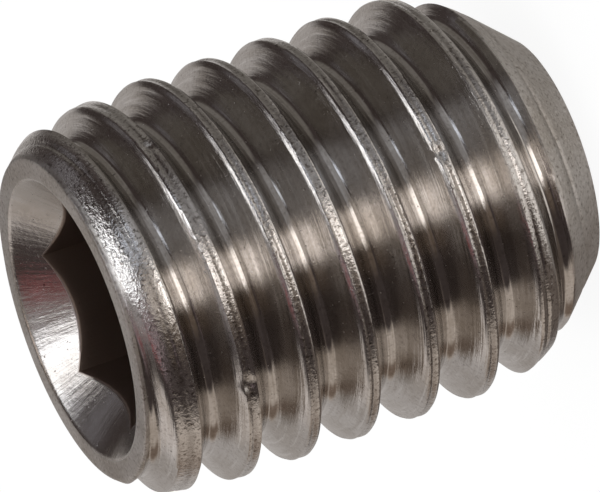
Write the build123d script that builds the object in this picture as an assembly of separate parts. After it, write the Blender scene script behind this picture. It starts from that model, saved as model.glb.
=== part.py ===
from build123d import *
from math import ceil, cos, radians, sin, tan
import os

# Hexagon socket set screw, M8 x 1.25 x 10, one solid of stainless steel, in millimetres.
# It stands on its point: the axis is Z, the point's rim is at z = 0, and the socket opens
# upwards in the face at z = length.

# Driving dimensions
length = 10.0

thread_pitch = 1.25
crest_diameter = 7.80       # outside of the rolled thread, inside the 6g band of M8
pitch_diameter = 7.07       # where ridge and groove are equally wide
root_rounding = 0.22        # radius at the bottom of the groove
flank_angle = 30.0          # each flank's lean, from a plane square to the axis
groove_height = 0.355       # middle of the lowest groove on the +X side of the screw
crest_allowance = 0.07      # how far the groove's cutter reaches past the crest

point_diameter = 4.76       # flat rim at the end of the point, outside edge
point_angle = 43.0          # the point's cone leans this far from the axis
point_lead_diameter = 7.10  # where the cone meets the gentler lead of the last crest
point_lead_angle = 20.0
cup_diameter = 4.46         # hollow in the point, which leaves a narrow rim
cup_angle = 120.0           # included angle of the hollow

face_diameter = 6.40        # flat ring around the socket, outside edge
edge_angle = 45.0           # the face's chamfer leans this far from the axis
face_lead_diameter = 7.10   # where the chamfer meets the gentler lead of the first crest
face_lead_angle = 12.0

socket_across_flats = 4.02
socket_depth = 5.0
socket_turn = -5.3          # one corner's angle from +X, in degrees
mouth_diameter = 5.60       # countersink of the socket, at the face
mouth_angle = 90.0          # included angle of the countersink
floor_diameter = 3.6        # shallow cone left in the socket's floor
floor_angle = 150.0         # included angle of that cone

crest_radius = crest_diameter / 2
pitch_radius = pitch_diameter / 2


def rise(from_radius, to_radius, angle):
    """Height of a cone between two radii, when its side leans by angle from the axis."""
    return (to_radius - from_radius) / tan(radians(angle))


def turned_blank():
    """The screw before its thread: a cylinder with a cone and a gentler lead at both ends,
    and a conical hollow in the point."""
    point_radius, point_lead_radius = point_diameter / 2, point_lead_diameter / 2
    face_radius, face_lead_radius = face_diameter / 2, face_lead_diameter / 2
    cone_top = rise(point_radius, point_lead_radius, point_angle)
    lead_top = cone_top + rise(point_lead_radius, crest_radius, point_lead_angle)
    chamfer_foot = length - rise(face_radius, face_lead_radius, edge_angle)
    lead_foot = chamfer_foot - rise(face_lead_radius, crest_radius, face_lead_angle)
    outline = Polyline(
        (0, rise(0, cup_diameter / 2, cup_angle / 2)),
        (cup_diameter / 2, 0),
        (point_radius, 0),
        (point_lead_radius, cone_top),
        (crest_radius, lead_top),
        (crest_radius, lead_foot),
        (face_lead_radius, chamfer_foot),
        (face_radius, length),
        (0, length),
        close=True,
    )
    return revolve(Plane.XZ * make_face(outline), Axis.Z)


def groove_section():
    """Section of the thread's groove, in the plane of X (out from the axis) and Z: two
    leaning flanks joined by a round bottom, with the middle of the groove at z = 0."""
    lean = radians(flank_angle)
    open_radius = crest_radius + crest_allowance
    apex_radius = pitch_radius - thread_pitch / 4 / tan(lean)
    centre_radius = apex_radius + root_rounding / sin(lean)
    touch_radius = centre_radius - root_rounding * sin(lean)
    touch_half = root_rounding * cos(lean)
    open_half = (open_radius - apex_radius) * tan(lean)
    bottom = (centre_radius - root_rounding, 0)
    outline = [
        Line((open_radius, open_half), (touch_radius, touch_half)),
        ThreePointArc((touch_radius, touch_half), bottom, (touch_radius, -touch_half)),
        Line((touch_radius, -touch_half), (open_radius, -open_half)),
        Line((open_radius, -open_half), (open_radius, open_half)),
    ]
    return Plane.XZ * make_face(outline)


def groove_turns():
    """The right-hand helical groove as a list of single turns laid end to end, from below
    the point to above the face."""
    one_turn = sweep(
        groove_section(), path=Helix(thread_pitch, thread_pitch, pitch_radius), is_frenet=True
    )
    first = groove_height - 2 * thread_pitch
    count = ceil((length - first) / thread_pitch) + 1
    return [Pos(0, 0, first + k * thread_pitch) * one_turn for k in range(count)]


def downward_cone(mouth_radius, included_angle):
    """Cone with its mouth at z = 0 and its tip below."""
    depth = rise(0, mouth_radius, included_angle / 2)
    return Cone(0, mouth_radius, depth, align=(Align.CENTER, Align.CENTER, Align.MAX))


def socket():
    """Hexagonal hole with a countersunk mouth and a shallow conical floor."""
    hexagon = RegularPolygon(socket_across_flats / 2, 6, major_radius=False)
    floor_height = length - socket_depth
    hole = Pos(0, 0, floor_height) * extrude(Rot(0, 0, socket_turn) * hexagon, socket_depth)
    floor_cone = Pos(0, 0, floor_height) * downward_cone(floor_diameter / 2, floor_angle)
    mouth = Pos(0, 0, length) * downward_cone(mouth_diameter / 2, mouth_angle)
    return hole + floor_cone + mouth


set_screw = turned_blank()
for turn in groove_turns():
    set_screw = set_screw - turn
set_screw = set_screw - socket()
set_screw.label = "set_screw"

os.makedirs("parts", exist_ok=True)
export_step(set_screw, "parts/set_screw.step")
print(f"set_screw: {set_screw.volume:.1f} mm3, {len(set_screw.solids())} solid")
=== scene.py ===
import bmesh
import bpy
import numpy as np
from math import cos, pi, radians, sin, tan
from mathutils import Matrix, Vector


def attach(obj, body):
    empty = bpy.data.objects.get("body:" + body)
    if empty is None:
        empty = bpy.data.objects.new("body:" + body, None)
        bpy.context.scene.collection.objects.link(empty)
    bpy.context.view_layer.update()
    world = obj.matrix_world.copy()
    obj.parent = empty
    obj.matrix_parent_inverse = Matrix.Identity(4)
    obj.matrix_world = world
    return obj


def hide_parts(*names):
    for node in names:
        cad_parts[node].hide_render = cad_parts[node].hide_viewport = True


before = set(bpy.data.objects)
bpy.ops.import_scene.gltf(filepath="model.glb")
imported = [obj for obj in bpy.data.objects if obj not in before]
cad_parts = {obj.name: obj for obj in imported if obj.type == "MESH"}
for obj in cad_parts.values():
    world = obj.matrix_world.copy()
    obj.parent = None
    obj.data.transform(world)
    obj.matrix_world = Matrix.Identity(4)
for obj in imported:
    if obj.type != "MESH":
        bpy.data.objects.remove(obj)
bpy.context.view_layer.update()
mm = 0.001                      # the screw is worked out in millimetres and stored in metres

# the camera stands on the -Y side, looks down on the socket and lies nearly on its side
camera = {
    "elevation": 18.11,         # degrees above the horizon
    "roll": -109.05,            # turn about the line of sight, degrees
    "aim": (-0.084, 0.0, 5.209), # point in the middle of the picture, on the screw's axis plane
    "lens": 1200.0,             # a long lens keeps the parallel crests parallel
    "distance": 380.1,
}

# a card is a flat lit or dark panel far away: azimuth 0 is the camera's side and 90 is +X,
# sizes are half widths and half heights seen from the screw, as tangents
cards = {
    "belowLeft": {"azimuth": -130, "elevation": -70, "half": (1.2, 0.8), "soft": 0.5,
                  "colour": (0.13, 0.105, 0.09)},
    "belowRight": {"azimuth": 130, "elevation": -60, "half": (0.75, 0.6), "soft": 0.4,
                   "colour": (0.30, 0.28, 0.26)},
    "underGlow": {"azimuth": 0, "elevation": -75, "half": (0.5, 0.4), "soft": 0.4,
                  "colour": (0.95, 0.90, 0.85)},
    "zenith": {"azimuth": 0, "elevation": 90, "half": (0.35, 0.4), "soft": 0.25,
               "colour": (0.35, 0.33, 0.33)},
    "backdrop": {"azimuth": -165, "elevation": 5, "half": (0.85, 0.65), "soft": 0.3,
                 "colour": (0.48, 0.45, 0.43)},
    "backRight": {"azimuth": 160, "elevation": -20, "half": (0.3, 0.2), "soft": 0.2,
                  "colour": (0.65, 0.62, 0.60)},
    "rightWall": {"azimuth": 105, "elevation": -15, "half": (0.8, 0.45), "soft": 0.4,
                  "colour": (0.19, 0.175, 0.16)},
    "greyWing": {"azimuth": 35, "elevation": -10, "half": (0.4, 0.8), "soft": 0.3,
                 "colour": (0.33, 0.32, 0.32)},
    "warmSide": {"azimuth": -110, "elevation": 0, "half": (0.5, 0.6), "soft": 0.2,
                 "colour": (0.54, 0.47, 0.41)},
    "brownGap": {"azimuth": -125, "elevation": 0, "half": (0.15, 0.4), "soft": 0.15,
                 "colour": (0.22, 0.165, 0.13)},
    "paleCorner": {"azimuth": -140, "elevation": 45, "half": (0.3, 0.25), "soft": 0.2,
                   "colour": (0.74, 0.68, 0.64)},
    "leftHaze": {"azimuth": -40, "elevation": 55, "half": (0.3, 0.2), "soft": 0.2,
                 "colour": (0.27, 0.21, 0.22)},
    "redCard": {"azimuth": -60, "elevation": 65, "half": (0.1, 0.08), "soft": 0.1,
                "colour": (0.30, 0.05, 0.05)},
    "topBar": {"azimuth": 175, "elevation": 75, "half": (0.15, 0.25), "soft": 0.05,
               "colour": (1.00, 0.86, 0.75)},
    "topDark": {"azimuth": -150, "elevation": 70, "half": (0.12, 0.2), "soft": 0.1,
                "colour": (0.06, 0.045, 0.045)},
    "rightHaze": {"azimuth": 120, "elevation": 35, "half": (0.2, 0.13), "soft": 0.2,
                  "colour": (0.19, 0.18, 0.19)},
    "brownSkirt": {"azimuth": -25, "elevation": -5, "half": (0.2, 0.55), "soft": 0.3,
                   "colour": (0.15, 0.115, 0.09)},
    "frontStrip": {"azimuth": -3, "elevation": 0, "half": (0.25, 1.05), "soft": 0.2,
                   "colour": (0.64, 0.57, 0.51)},
    "stripCore": {"azimuth": -3, "elevation": -20, "half": (0.2, 0.4), "soft": 0.1,
                  "colour": (2.05, 1.92, 1.82)},
    "lowLamp": {"azimuth": 35, "elevation": 35, "half": (0.1, 0.25), "soft": 0.05,
                "colour": (1.05, 1.12, 1.25)},
    "highLamp": {"azimuth": 50, "elevation": 68, "half": (0.35, 0.12), "soft": 0.1,
                 "colour": (2.55, 2.57, 2.63)},
    "mouthLamp": {"azimuth": 100, "elevation": 55, "half": (0.1, 0.06), "soft": 0.08,
                  "colour": (1.30, 1.30, 1.35)},
}
darkRoom = (0.058, 0.046, 0.043)    # what the metal sees between the cards

screw = {
    "pitch": 1.25,
    "length": 10.0,
    "crestRadius": 3.893,
    "pitchRadius": 3.535,
    "rootRounding": 0.22,
    "flankAngle": 30.0,
    "grooveHeight": 0.355,      # middle of the lowest groove on the +X side
    "crestBlend": 0.020,        # how softly the rolled crest turns into its flanks
    "pointRadius": 2.38,
    "pointAngle": 43.0,
    "pointBlend": 0.80,         # the last crest falls away gently into the cone
    "cupRadius": 2.23,
    "cupAngle": 60.0,
    "faceRadius": 3.20,
    "faceSlope": 0.90,
    "leadRadius": 3.53,
    "leadSlope": 0.21,
    "mouthRadius": 2.80,
    "mouthSlope": 1.0,
    "socketHalfFlats": 2.01,
    "socketTurn": -5.3,         # one corner's angle from +X
    "socketDepth": 5.0,
    "floorRadius": 1.80,
    "floorAngle": 75.0,
    "edgeRound": 0.10,
    "columns": 324,             # a multiple of six, so that each socket corner has a column
    "rowsPerTurn": 28,
    "crowding": 0.55,           # how much closer the rows lie at crest and root
    "seamDepth": 0.036,         # fold left along the crest by the rolling dies
    "seamWidth": 0.040,
    "seamShade": 0.070,         # half width of the darker bottom of the fold
    "crestRipple": 0.010,
    "flankRipple": 0.006,
    "flankRippleReach": 0.22,   # how far from the ridge's middle the flanks' ripple fades
    "skinDepth": 0.05,          # how far the flanks overshoot where the crest's skin is full
    "nickWidth": 0.12,          # across the ridge
    "faceEdgeLow": 9.86,        # the turned finish of the face begins between these heights
    "faceEdgeHigh": 9.95,
    "wallShadeLow": 5.0,        # the socket's walls are darkest above these heights
    "wallShadeHigh": 6.5,
    "lipFade": 0.03,
    "boreFade": 0.05,
    "coneShare": 0.6,           # the cone is fully turned below this share of its height
    "seamGap": 2e-7,            # points closer than this, in metres, are merged
    "sharpAngle": 38.0,
}

# small dents on the crest: turns along the ridge, depth, half length along it, shift across it
nicks = [
    (5.65, 0.10, 0.16, 0.02),
    (5.87, 0.07, 0.12, -0.03),
    (1.78, 0.05, 0.10, 0.02),
]


# ---- shape of the screw

def smoothMin(a, b, width):
    # the smaller of two surfaces, with the corner between them rounded over the given width
    share = np.clip(0.5 + 0.5 * (b - a) / width, 0.0, 1.0)
    return b + (a - b) * share - width * share * (1.0 - share)


def smoothStep(low, high, x):
    share = np.clip((x - low) / (high - low), 0.0, 1.0)
    return share * share * (3.0 - 2.0 * share)


def ridgeRadius(turns):
    # V groove with a round bottom: the radius rises by distance from the groove's middle over
    # tan(flank angle), and inside the touching points it is a circle of the root's rounding
    s = screw
    lean = radians(s["flankAngle"])
    offset = np.abs(turns - np.round(turns)) * s["pitch"]
    apex = s["pitchRadius"] - s["pitch"] / 4 / tan(lean)
    flank = apex + offset / tan(lean)
    centre = apex + s["rootRounding"] / sin(lean)
    inside = np.maximum(s["rootRounding"] ** 2 - offset ** 2, 0.0)
    bottom = centre - np.sqrt(inside)
    return np.where(offset < s["rootRounding"] * cos(lean), bottom, flank)


def blankRadius(z):
    # outline without the thread: the crest's cylinder, smoothly cut by the point's cone at the
    # bottom and by the lead and the chamfer at the top
    s = screw
    fromFace = s["length"] - z
    cone = s["pointRadius"] + z * tan(radians(s["pointAngle"]))
    chamfer = s["faceRadius"] + fromFace * s["faceSlope"]
    lead = s["leadRadius"] + fromFace * s["leadSlope"]
    top = smoothMin(chamfer, lead, 0.15)
    return smoothMin(smoothMin(s["crestRadius"], top, 0.25), cone, s["pointBlend"])


def ripple(turns, seed, count, slowest, fastest):
    # sum of sines along the helix with seeded rates, phases and falling strength, about -1 to 1
    draw = np.random.default_rng(seed)
    rates = np.geomspace(slowest, fastest, count) * draw.uniform(0.85, 1.15, count)
    phases = draw.uniform(0.0, 2 * pi, count)
    strengths = draw.uniform(0.5, 1.0, count) / np.sqrt(np.arange(1, count + 1))
    waves = np.sin(turns[..., None] * rates * 2 * pi + phases) * strengths
    return waves.sum(-1) / strengths.sum()


def threadSurface(z, angle):
    # radius and crest skin at a height and an angle: the V ridge, cut off where it meets the
    # blank, with a wandering fold along the cut and a few dents in it
    s = screw
    turns = (z - s["grooveHeight"]) / s["pitch"] - angle / (2 * pi)
    ridge = np.floor(turns)
    along = ridge + angle / (2 * pi)            # place along the ridge, in turns
    across = (turns - ridge - 0.5) * s["pitch"]     # distance from the ridge's middle
    sideRipple = np.where(across > 0, ripple(along, 5, 14, 3, 70), ripple(along, 6, 14, 3, 70))
    nearCrest = np.exp(-(across / s["flankRippleReach"]) ** 2)
    wall = ridgeRadius(turns) + s["flankRipple"] * sideRipple * nearCrest
    blank = blankRadius(z)
    skin = smoothStep(0.0, s["skinDepth"], wall - blank)
    foldMiddle = 0.025 * ripple(along, 8, 8, 1, 12) + 0.018
    foldDepth = s["seamDepth"] * np.clip(0.55 + 0.9 * ripple(along, 9, 9, 1, 25), 0.0, 1.0)
    fold = foldDepth * np.exp(-((across - foldMiddle) / s["seamWidth"]) ** 2)
    crest = blank - fold * skin
    crest = crest - s["crestRipple"] * skin * (0.5 + 0.5 * ripple(along, 12, 26, 4, 110))
    for turn, depth, halfLength, shift in nicks:
        run = (along - turn) * 2 * pi * s["crestRadius"] / halfLength
        wide = (across - shift) / s["nickWidth"]
        crest = crest - depth * np.exp(-run ** 2 - wide ** 2)
    # seam marks the bottom of the fold, where the finish paints shade
    seam = skin * np.exp(-((across - foldMiddle) / s["seamShade"]) ** 4)
    return smoothMin(wall, crest, s["crestBlend"]), skin, seam


def socketRadius(angle):
    # distance from the axis to the hexagon's wall: half the flats over the cosine from the
    # nearest flat's middle
    s = screw
    fromCorner = angle - radians(s["socketTurn"])
    fromFlat = (fromCorner % (pi / 3)) - pi / 6
    return s["socketHalfFlats"] / np.cos(fromFlat)


def threadRows():
    # rows along the helix: evenly spaced numbers, drawn towards crests and roots by a sine,
    # then held between the two ends of the threaded outline
    s = screw
    low, high = 0.0, s["length"] - s["edgeRound"] * 0.35
    first = np.floor((low - s["grooveHeight"]) / s["pitch"]) - 1
    last = np.ceil((high - s["grooveHeight"]) / s["pitch"])
    steps = np.arange(int((last - first) * s["rowsPerTurn"]) + 1) / s["rowsPerTurn"]
    turns = first + steps - s["crowding"] / (4 * pi) * np.sin(4 * pi * steps)
    angle = columnAngles()
    z = s["grooveHeight"] + s["pitch"] * (turns[:, None] + angle[None, :] / (2 * pi))
    return np.clip(z, low, high), np.broadcast_to(angle, z.shape)


def columnAngles():
    # angles of the grid's columns, a whole turn that starts at a corner of the socket
    count = screw["columns"]
    return radians(screw["socketTurn"]) + np.arange(count + 1) * 2 * pi / count


def ringRows(profile, angle):
    # a profile carried round the axis: each row is (radius, height), numbers or whole circles
    radius = np.stack([np.broadcast_to(r, angle.shape) for r, z in profile])
    height = np.stack([np.broadcast_to(z, angle.shape) for r, z in profile])
    return radius, height


def topRows(edge, edgeHeight, angle):
    # from the threaded outline's upper edge: rounded on to the flat ring, rounded into the
    # countersink, down it to the hexagon, down the hexagon's walls and over the floor's cone
    s = screw
    top = s["length"]
    rounding = s["edgeRound"]
    hexagon = socketRadius(angle)
    flatOuter = s["faceRadius"] - 0.6 * rounding
    flatInner = s["mouthRadius"] + 0.6 * rounding
    profile = []
    for share in np.linspace(0, 1, 6):
        bend = share * pi / 2
        profile.append((flatOuter + (edge - flatOuter) * cos(bend),
                        edgeHeight + (top - edgeHeight) * sin(bend)))
    for share in (0.35, 0.7):
        profile.append((flatOuter + (flatInner - flatOuter) * share, top))
    for share in np.linspace(0, 1, 6):
        drop = share ** 2 * 0.6 * rounding
        profile.append((flatInner - share * 1.2 * rounding, top - drop))
    lipRadius = s["mouthRadius"] - 0.6 * rounding
    for share in (0.2, 0.4, 0.6, 0.8, 0.93, 0.993):
        radius = lipRadius + (hexagon - lipRadius) * share
        profile.append((radius, top - (s["mouthRadius"] - radius) * s["mouthSlope"]))
    lip = top - (s["mouthRadius"] - hexagon) * s["mouthSlope"]
    floor = top - s["socketDepth"]
    for share in (0.004, 0.04, 0.1, 0.25, 0.5, 0.75, 1.0):
        profile.append((hexagon, lip + (floor - lip) * share))
    for share in (0.5, 1.0):
        profile.append((hexagon + (s["floorRadius"] - hexagon) * share, floor))
    for radius in (1.2, 0.6, 0.0):
        drop = (s["floorRadius"] - radius) / tan(radians(s["floorAngle"]))
        profile.append((radius, floor - drop))
    return ringRows(profile, angle)


def bottomRows(edge, angle):
    # from the tip of the cup's hollow out to its rim, and round the rim to the cone
    s = screw
    profile = []
    for share in (0.0, 0.25, 0.5, 0.75, 0.93, 0.985):
        radius = s["cupRadius"] * share
        profile.append((radius, (s["cupRadius"] - radius) / tan(radians(s["cupAngle"]))))
    for share in (0.1, 0.5, 0.9, 1.0):
        profile.append((s["cupRadius"] + (edge - s["cupRadius"]) * share, 0.0))
    return ringRows(profile, angle)


def gridMesh(name, radius, height, angle, masks):
    # one sheet of quads over rows and columns, with the masks stored on its points; closeSeams
    # merges it afterwards where rows or columns meet
    x, y = radius * np.cos(angle), radius * np.sin(angle)
    points = np.stack([x, y, height], -1).reshape(-1, 3) * mm
    rows, columns = radius.shape
    index = np.arange(rows * columns).reshape(rows, columns)
    quads = np.stack([index[:-1, :-1], index[:-1, 1:], index[1:, 1:], index[1:, :-1]], -1)
    mesh = bpy.data.meshes.new(name)
    mesh.from_pydata(points.tolist(), [], quads.reshape(-1, 4).tolist())
    for title, values in masks.items():
        layer = mesh.attributes.new(title, "FLOAT", "POINT")
        layer.data.foreach_set("value", values.reshape(-1).astype(np.float32))
    return mesh


def closeSeams(mesh, gap):
    # merges what lies on the same spot, drops what has no area, and turns the faces outward
    work = bmesh.new()
    work.from_mesh(mesh)
    bmesh.ops.remove_doubles(work, verts=work.verts, dist=gap)
    bmesh.ops.dissolve_degenerate(work, edges=work.edges, dist=gap)
    bmesh.ops.recalc_face_normals(work, faces=work.faces)
    work.to_mesh(mesh)
    work.free()


def makeScrew():
    s = screw
    angle = columnAngles()
    z, turn = threadRows()
    body, skin, seam = threadSurface(z, turn)
    upperRadius, upperHeight = topRows(body[-1], z[-1], angle)
    lowerRadius, lowerHeight = bottomRows(body[0], angle)
    radius = np.concatenate([lowerRadius, body, upperRadius])
    height = np.concatenate([lowerHeight, z, upperHeight])
    around = np.broadcast_to(angle, radius.shape)
    rawSkin = np.concatenate([0 * lowerRadius, skin, 0 * upperRadius])
    seam = np.concatenate([0 * lowerRadius, seam, 0 * upperRadius])
    bore = np.concatenate([0 * lowerRadius, 0 * body, np.ones_like(upperRadius)])
    rim, fade = s["mouthRadius"], s["boreFade"]
    bore = bore * smoothStep(rim + fade, rim - fade, radius)
    # the point's cone and the ring round the socket were turned, not rolled
    coneHeight = (s["crestRadius"] - s["pointRadius"]) / tan(radians(s["pointAngle"]))
    onCone = np.maximum(rawSkin, radius < s["faceRadius"])
    turned = smoothStep(coneHeight, s["coneShare"] * coneHeight, height) * onCone
    onFace = smoothStep(s["faceEdgeLow"], s["faceEdgeHigh"], height) * (1 - bore)
    turned = np.maximum(turned, onFace)
    # the hexagon's walls start where the countersink's cone meets them
    lip = s["length"] - (s["mouthRadius"] - socketRadius(around)) * s["mouthSlope"]
    # the socket's walls get painted shade, fading out towards the floor, and a rougher finish
    shaded = smoothStep(s["wallShadeLow"], s["wallShadeHigh"], height)
    deep = bore * smoothStep(lip + s["lipFade"], lip, height) * shaded
    masks = {"rawSkin": rawSkin, "seam": seam, "bore": bore, "turned": turned, "deep": deep}
    mesh = gridMesh("grub_screw", radius, height, around, masks)
    closeSeams(mesh, s["seamGap"])
    mesh.shade_smooth()
    mesh.set_sharp_from_angle(angle=radians(s["sharpAngle"]))
    piece = bpy.data.objects.new("grub_screw", mesh)
    bpy.context.scene.collection.objects.link(piece)
    triangles = sum(len(face.vertices) - 2 for face in mesh.polygons)
    print("screw:", len(mesh.vertices), "points,", triangles, "triangles")
    return piece


# ---- node trees

class Wire:                             # a socket; arithmetic on it adds Math nodes
    def __init__(self, board, socket):
        self.board = board
        self.socket = socket

    def __add__(self, other):
        return self.board.maths("ADD", self, other)

    def __sub__(self, other):
        return self.board.maths("SUBTRACT", self, other)

    def __rsub__(self, other):
        return self.board.maths("SUBTRACT", other, self)

    def __mul__(self, other):
        return self.board.maths("MULTIPLY", self, other)

    def __truediv__(self, other):
        return self.board.maths("DIVIDE", self, other)

    def __rtruediv__(self, other):
        return self.board.maths("DIVIDE", other, self)

    __radd__ = __add__
    __rmul__ = __mul__


class NodeBoard:                        # one node tree being wired up
    def __init__(self, tree):
        self.tree = tree
        tree.nodes.clear()

    def add(self, kind, settings, inputs, output=0):
        # settings come first, because some of them change the sockets
        node = self.tree.nodes.new(kind)
        for name, value in settings.items():
            setattr(node, name, value)
        for key, value in inputs.items():
            if isinstance(value, Wire):
                self.tree.links.new(value.socket, node.inputs[key])
            else:
                node.inputs[key].default_value = value
        return Wire(self, node.outputs[output]) if len(node.outputs) else None

    def maths(self, operation, *terms):
        return self.add("ShaderNodeMath", {"operation": operation}, dict(enumerate(terms)))

    def vector(self, operation, *terms):
        last = 1 if operation in ("DOT_PRODUCT", "LENGTH") else 0
        inputs = dict(enumerate(terms))
        return self.add("ShaderNodeVectorMath", {"operation": operation}, inputs, last)

    def ease(self, value, low, high):
        # smooth step from 0 at low to 1 at high
        inputs = {"Value": value, "From Min": low, "From Max": high}
        return self.add("ShaderNodeMapRange", {"interpolation_type": "SMOOTHSTEP"}, inputs)

    def blend(self, share, first, second):
        # colour mix: first where share is 0, second where it is 1
        inputs = {0: share, 6: first, 7: second}
        return self.add("ShaderNodeMix", {"data_type": "RGBA"}, inputs, 2)

    def mask(self, title):
        # a mask stored on the mesh's points
        return self.add("ShaderNodeAttribute", {"attribute_name": title}, {}, "Fac")

    def noise(self, place, scale, detail, roughness=0.5):
        inputs = {"Vector": place, "Scale": scale, "Detail": detail, "Roughness": roughness}
        return self.add("ShaderNodeTexNoise", {}, inputs)

    def bump(self, height, distance, normal=None):
        inputs = {"Height": height, "Strength": 1.0, "Distance": distance}
        if normal is not None:
            inputs["Normal"] = normal
        return self.add("ShaderNodeBump", {}, inputs)


# ---- finish

steel = {
    "base": (0.60, 0.58, 0.565, 1.0),
    "shade": (0.47, 0.44, 0.41, 1.0),       # slightly browner patches
    "pit": (0.10, 0.085, 0.075, 1.0),
    "paintedSocketShade": (0.39, 0.315, 0.275, 1.0),  # painted shade on the socket's walls, darker and browner than the steel
    "burnished": (0.84, 0.83, 0.82, 1.0),   # the crests, rubbed bright by the dies
    "grimeAndFoldShade": (0.20, 0.175, 0.155, 1.0),     # what sits between the grains, and painted shade in the fold along the crest
    "rolledRoughness": 0.14,
    "rootPolish": 0.07,                     # how much smoother the groove's bottom is
    "crestRoughness": 0.155,
    "turnedRoughness": 0.42,
    "boreRoughness": 0.17,
    "wallRoughness": 0.45,
    "anisotropy": 0.55,
    "striationsPerTurn": 3.5,
    "striationHeight": 1.1e-5,
    "crestGrain": 14.0,                     # noise cells for each millimetre
    "crestGrainHeight": 1.2e-5,
    "turnedGrain": 13.0,
    "turnedGrainHeight": 1.1e-5,
    "grit": 14.0,
    "mottle": 0.9,
    "specks": 11.0,                         # small dark pits
    "glints": 13.0,                         # small bright scratches that catch the light
    "glintRoughness": 0.35,
    "radialLines": 12.0,                    # round the socket's countersink
    "radialHeight": 1.3e-5,
    "drift": 0.6,                           # how fast the streaks change along their length
}


def steelMaterial():
    material = bpy.data.materials.new("rolled_stainless")
    material.use_nodes = True
    board = NodeBoard(material.node_tree)
    place = board.add("ShaderNodeTexCoord", {}, {}, "Object")
    place = board.vector("MULTIPLY", place, (1 / mm, 1 / mm, 1 / mm))
    x, y, z = [board.add("ShaderNodeSeparateXYZ", {}, {0: place}, axis) for axis in range(3)]
    titles = ("rawSkin", "seam", "bore", "turned", "deep")
    rawSkin, seam, bore, turned, deep = [board.mask(title) for title in titles]

    # where on the thread's outline a point lies, as the cosine and sine of its phase, so that
    # streaks drawn on that circle follow the helix and have no seam
    reach = board.maths("SQRT", x * x + y * y) + 1e-6
    around = (z - screw["grooveHeight"]) * (2 * pi / screw["pitch"])
    cosA, sinA = x / reach, y / reach
    cosT, sinT = board.maths("COSINE", around), board.maths("SINE", around)
    phaseCos = cosT * cosA + sinT * sinA
    phaseSin = sinT * cosA - cosT * sinA
    root = board.ease(phaseCos, 0.70, 0.97)
    circle = board.add("ShaderNodeCombineXYZ", {}, {0: phaseCos, 1: phaseSin})
    count = steel["striationsPerTurn"]
    circle = board.vector("MULTIPLY", circle, (count, count, 0.0))
    drift = board.vector("MULTIPLY", place, (steel["drift"],) * 3)
    helix = board.vector("ADD", circle, drift)
    striation = board.noise(helix, 1.0, 5.0, 0.62)

    mottle = board.noise(place, steel["mottle"], 3.0)
    grain = board.noise(place, steel["crestGrain"], 3.0, 0.6)
    lathe = board.noise(place, steel["turnedGrain"], 4.0, 0.65)
    speck = board.ease(board.noise(place, steel["specks"], 1.0), 0.74, 0.79)
    glint = board.ease(board.noise(place, steel["glints"], 1.0), 0.255, 0.215)
    grit = board.noise(place, steel["grit"], 2.0, 0.6)
    dark = board.ease(grit, 0.52, 0.72)
    light = board.ease(grit, 0.46, 0.28)
    count = steel["radialLines"]
    spokes = board.add("ShaderNodeCombineXYZ", {}, {0: cosA, 1: sinA})
    spokes = board.vector("MULTIPLY", spokes, (count, count, 0.0))
    spokes = board.vector("ADD", spokes, drift)
    radial = board.noise(spokes, 1.0, 5.0, 0.65)

    rolled = (1 - rawSkin) * (1 - turned) * (1 - bore)
    crest = rawSkin * (1 - turned)
    base = board.blend(board.ease(mottle, 0.35, 0.70), steel["base"], steel["shade"])
    base = board.blend(rolled * board.ease(striation, 0.47, 0.68) * 0.85, base, steel["shade"])
    base = board.blend(rolled * board.ease(striation, 0.46, 0.30) * 0.55, base, steel["burnished"])
    rubbed = crest * (0.15 + board.ease(mottle, 0.38, 0.62) * 0.60)
    base = board.blend(rubbed, base, steel["burnished"])
    # painted shade: the bottom of the crest's fold is darkened
    base = board.blend(seam * (1 - turned) * 0.35, base, steel["grimeAndFoldShade"])
    darker = dark * (crest * 0.95 + turned * 0.75 + rolled * 0.35 + deep * 0.4)
    base = board.blend(darker, base, steel["grimeAndFoldShade"])
    lighter = light * (crest * 0.3 + turned * 0.4 + rolled * 0.20 + deep * 0.3)
    base = board.blend(lighter, base, steel["burnished"])
    base = board.blend(bore * board.ease(radial, 0.48, 0.72) * 0.5, base, steel["shade"])
    base = board.blend(speck * 0.75, base, steel["pit"])
    # painted shade: the socket's walls are darkened and browned
    base = board.blend(deep, base, steel["paintedSocketShade"])
    base = board.blend(turned * board.ease(lathe, 0.45, 0.75) * 0.35, base, steel["shade"])

    roughness = rolled * (steel["rolledRoughness"] - root * steel["rootPolish"])
    roughness = roughness + crest * steel["crestRoughness"]
    roughness = roughness + turned * steel["turnedRoughness"] * (1 - bore)
    inside = (1 - deep) * steel["boreRoughness"] + deep * steel["wallRoughness"]
    roughness = roughness + bore * inside + glint * steel["glintRoughness"]
    roughness = roughness + (striation - 0.5) * 0.12 * rolled + (mottle - 0.5) * 0.06

    lines = board.bump(striation * rolled * (1 - root * 0.7), steel["striationHeight"])
    pitted = board.bump(grain * crest, steel["crestGrainHeight"], lines)
    fanned = board.bump(radial * bore, steel["radialHeight"], pitted)
    dull = board.bump(lathe * (turned + bore * 0.3), steel["turnedGrainHeight"], fanned)

    surface = board.add("ShaderNodeBsdfPrincipled", {}, {
        "Base Color": base,
        "Metallic": 1.0,
        "Roughness": roughness,
        "Anisotropic": steel["anisotropy"],
        "Anisotropic Rotation": 0.0,
        "Normal": dull,
    })
    board.add("ShaderNodeOutputMaterial", {}, {"Surface": surface})
    return material


# ---- camera, floor and light

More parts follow.
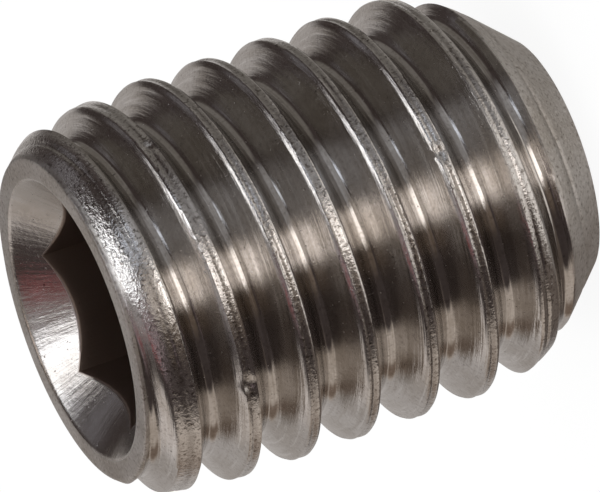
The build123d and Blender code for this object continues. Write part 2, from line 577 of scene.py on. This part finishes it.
def makeCamera():
    tilt = radians(camera["elevation"])
    sight = Vector((0.0, cos(tilt), -sin(tilt)))
    upright = Vector((0.0, sin(tilt), cos(tilt)))
    sideways = Vector((1.0, 0.0, 0.0))
    roll = radians(camera["roll"])
    right = sideways * cos(roll) + upright * sin(roll)
    up = upright * cos(roll) - sideways * sin(roll)
    lens = bpy.data.cameras.new("camera")
    lens.lens = camera["lens"]
    lens.clip_start = 0.01
    lens.clip_end = 2.0
    eye = bpy.data.objects.new("camera", lens)
    spot = (Vector(camera["aim"]) - sight * camera["distance"]) * mm
    turn = Matrix((right, up, -sight)).transposed().to_4x4()
    eye.matrix_world = Matrix.Translation(spot) @ turn
    bpy.context.scene.collection.objects.link(eye)
    bpy.context.scene.camera = eye


stage = {
    "floorHalf": 0.4,
    "paper": 0.9,
    "glow": 0.91,               # share of the floor that shines plain white to the camera
    "lampSpot": (-0.03, -0.05, 0.16),
    "lampPower": 0.10,
    "lampSize": 0.12,
}


def makeFloor():
    half = stage["floorHalf"]
    paperWhite = (stage["paper"],) * 3
    mesh = bpy.data.meshes.new("floor")
    corners = [(-half, -half, 0), (half, -half, 0), (half, half, 0), (-half, half, 0)]
    mesh.from_pydata(corners, [], [(0, 1, 2, 3)])
    floor = bpy.data.objects.new("floor", mesh)
    bpy.context.scene.collection.objects.link(floor)
    material = bpy.data.materials.new("white_sweep")
    material.use_nodes = True
    board = NodeBoard(material.node_tree)
    seen = board.add("ShaderNodeLightPath", {}, {}, "Is Camera Ray")
    paper = board.add("ShaderNodeBsdfDiffuse", {}, {"Color": (*paperWhite, 1.0)})
    glow = board.add("ShaderNodeEmission", {}, {"Color": (1.0, 1.0, 1.0, 1.0), "Strength": 1.0})
    both = board.add("ShaderNodeMixShader", {}, {0: seen * stage["glow"], 1: paper, 2: glow})
    board.add("ShaderNodeOutputMaterial", {}, {"Surface": both})
    mesh.materials.append(material)
    floor.visible_glossy = False        # the metal shows the cards on all sides, as if hung up


def cardMask(board, sight, card):
    # how much of the card a direction sees: its two coordinates on the card's plane, each
    # faded at the card's edges
    a, e = radians(card["azimuth"]), radians(card["elevation"])
    facing = Vector((sin(a) * cos(e), -cos(a) * cos(e), sin(e)))
    level = Vector((cos(a), sin(a), 0.0))
    rising = level.cross(facing)
    ahead = board.vector("DOT_PRODUCT", sight, tuple(facing))
    mask = board.ease(ahead, 0.0, 0.05)
    depth = board.maths("MAXIMUM", ahead, 0.02)
    for axis, half in zip((level, rising), card["half"]):
        place = board.vector("DOT_PRODUCT", sight, tuple(axis)) / depth
        mask = mask * board.ease(board.maths("ABSOLUTE", place), half + card["soft"] / 2,
                                 half - card["soft"] / 2)
    return mask


def makeWorld():
    world = bpy.data.worlds.new("studio")
    bpy.context.scene.world = world
    world.use_nodes = True
    world.cycles.sampling_method = "NONE"
    board = NodeBoard(world.node_tree)
    sight = board.add("ShaderNodeTexCoord", {}, {}, "Generated")
    room = (*darkRoom, 1.0)
    for card in cards.values():
        room = board.blend(cardMask(board, sight, card), room, (*card["colour"], 1.0))
    glossy = board.add("ShaderNodeLightPath", {}, {}, "Is Glossy Ray")
    seen = board.blend(glossy, (1.0, 1.0, 1.0, 1.0), room)
    light = board.add("ShaderNodeBackground", {}, {"Color": seen, "Strength": 1.0})
    board.add("ShaderNodeOutputWorld", {}, {"Surface": light})


def makeLamp():
    lamp = bpy.data.lights.new("overhead", "AREA")
    lamp.energy = stage["lampPower"]
    lamp.size = stage["lampSize"]
    item = bpy.data.objects.new("overhead", lamp)
    item.location = stage["lampSpot"]
    item.rotation_euler = Vector(stage["lampSpot"]).to_track_quat("Z", "Y").to_euler()
    item.visible_glossy = False
    bpy.context.scene.collection.objects.link(item)


print("camera and stage")
makeCamera()
makeFloor()
makeWorld()
makeLamp()
bpy.context.scene.view_settings.view_transform = "Standard"

print("screw")
grubScrew = makeScrew()
grubScrew.data.materials.append(steelMaterial())
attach(grubScrew, "root")
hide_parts("set_screw")
